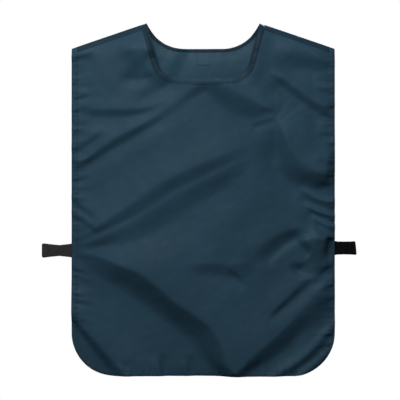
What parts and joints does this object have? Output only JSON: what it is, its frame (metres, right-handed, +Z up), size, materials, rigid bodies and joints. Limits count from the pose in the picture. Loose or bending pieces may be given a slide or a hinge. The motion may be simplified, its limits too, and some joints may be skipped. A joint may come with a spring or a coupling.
{
  "type": "lead apron",
  "caption": "Tabard-form protective apron: a front and a back panel hang from a shoulder ridge with a neck opening, with bound edges, hidden shielding plies and elastic side loops.",
  "frame": {"origin": "middle of the shoulder ridge, midway between the two neck points, where the apron rests on its wearer or hanger", "axes": "+Z up along the hanging panels, -Y out of the front panel, +X to the right of someone facing the front panel"},
  "size_m": [0.629, 0.0482, 0.7053],
  "materials": {
    "face_cloth": "dark petrol blue coated nylon, soft sheen",
    "lining_cloth": "dark petrol blue nylon lining, dull",
    "binding_tape": "the same nylon, folded over the edge",
    "shield_sheet": "lead-loaded vinyl sheet, matt, hidden between face and lining",
    "thread": "dark blue polyester sewing thread",
    "elastic_grey": "dark grey woven elastic, ribbed",
    "elastic_black": "black woven elastic, ribbed",
    "label_tape": "plain woven label, blank"
  },
  "bodies": {
    "front_panel": {"front_face_cloth": "face_cloth", "front_shield_ply_outer": "shield_sheet", "front_shield_ply_inner": "shield_sheet", "front_lining": "lining_cloth", "front_edge_binding": "binding_tape", "front_neck_binding": "binding_tape", "front_edge_stitching": "thread", "front_neck_stitching": "thread", "front_left_shoulder_tape": "binding_tape", "front_right_shoulder_tape": "binding_tape", "front_shoulder_stitching": "thread", "front_left_strap_tab": "elastic_grey", "front_right_strap_tab": "elastic_black", "front_left_bar_tack": "thread", "front_right_bar_tack": "thread"},
    "back_panel": {"back_face_cloth": "face_cloth", "back_shield_ply_outer": "shield_sheet", "back_shield_ply_inner": "shield_sheet", "back_lining": "lining_cloth", "back_edge_binding": "binding_tape", "back_neck_binding": "binding_tape", "back_edge_stitching": "thread", "back_neck_stitching": "thread", "back_left_shoulder_tape": "binding_tape", "back_right_shoulder_tape": "binding_tape", "back_shoulder_stitching": "thread", "back_left_strap_tab": "elastic_grey", "back_right_strap_tab": "elastic_black", "back_left_bar_tack": "thread", "back_right_bar_tack": "thread", "neck_label": "label_tape", "label_stitching": "thread"},
    "left_strap_front": {"left_strap_front_leaf": "elastic_grey"},
    "left_strap_back": {"left_strap_back_leaf": "elastic_grey"},
    "right_strap_front": {"right_strap_front_leaf": "elastic_black"},
    "right_strap_back": {"right_strap_back_leaf": "elastic_black"}
  },
  "joints": [
    {"name": "shoulder_fold", "type": "hinge", "parent": "front_panel", "child": "back_panel", "pos_m": [0, 0, 0], "axis": [1, 0, 0], "range_deg": [0, 9.3]},
    {"name": "left_strap_root", "type": "hinge", "parent": "front_panel", "child": "left_strap_front", "pos_m": [-0.2638, -0.00075, -0.455], "axis": [0, 0, -1], "range_deg": [0, 39.4]},
    {"name": "left_strap_fold", "type": "hinge", "parent": "left_strap_front", "child": "left_strap_back", "pos_m": [-0.323, 0, -0.455], "axis": [0, 0, 1], "range_deg": [0, 78.8]},
    {"name": "right_strap_root", "type": "hinge", "parent": "front_panel", "child": "right_strap_front", "pos_m": [0.2638, -0.00075, -0.45], "axis": [0, 0, 1], "range_deg": [0, 60.5]},
    {"name": "right_strap_fold", "type": "hinge", "parent": "right_strap_front", "child": "right_strap_back", "pos_m": [0.306, 0, -0.45], "axis": [0, 0, -1], "range_deg": [0, 121]}
  ],
  "couplings": [
    {"joint": "left_strap_root", "follows": "shoulder_fold", "ratio": 4.1281},
    {"joint": "left_strap_fold", "follows": "shoulder_fold", "ratio": 8.2562},
    {"joint": "right_strap_root", "follows": "shoulder_fold", "ratio": 6.3979},
    {"joint": "right_strap_fold", "follows": "shoulder_fold", "ratio": 12.796}
  ]
}
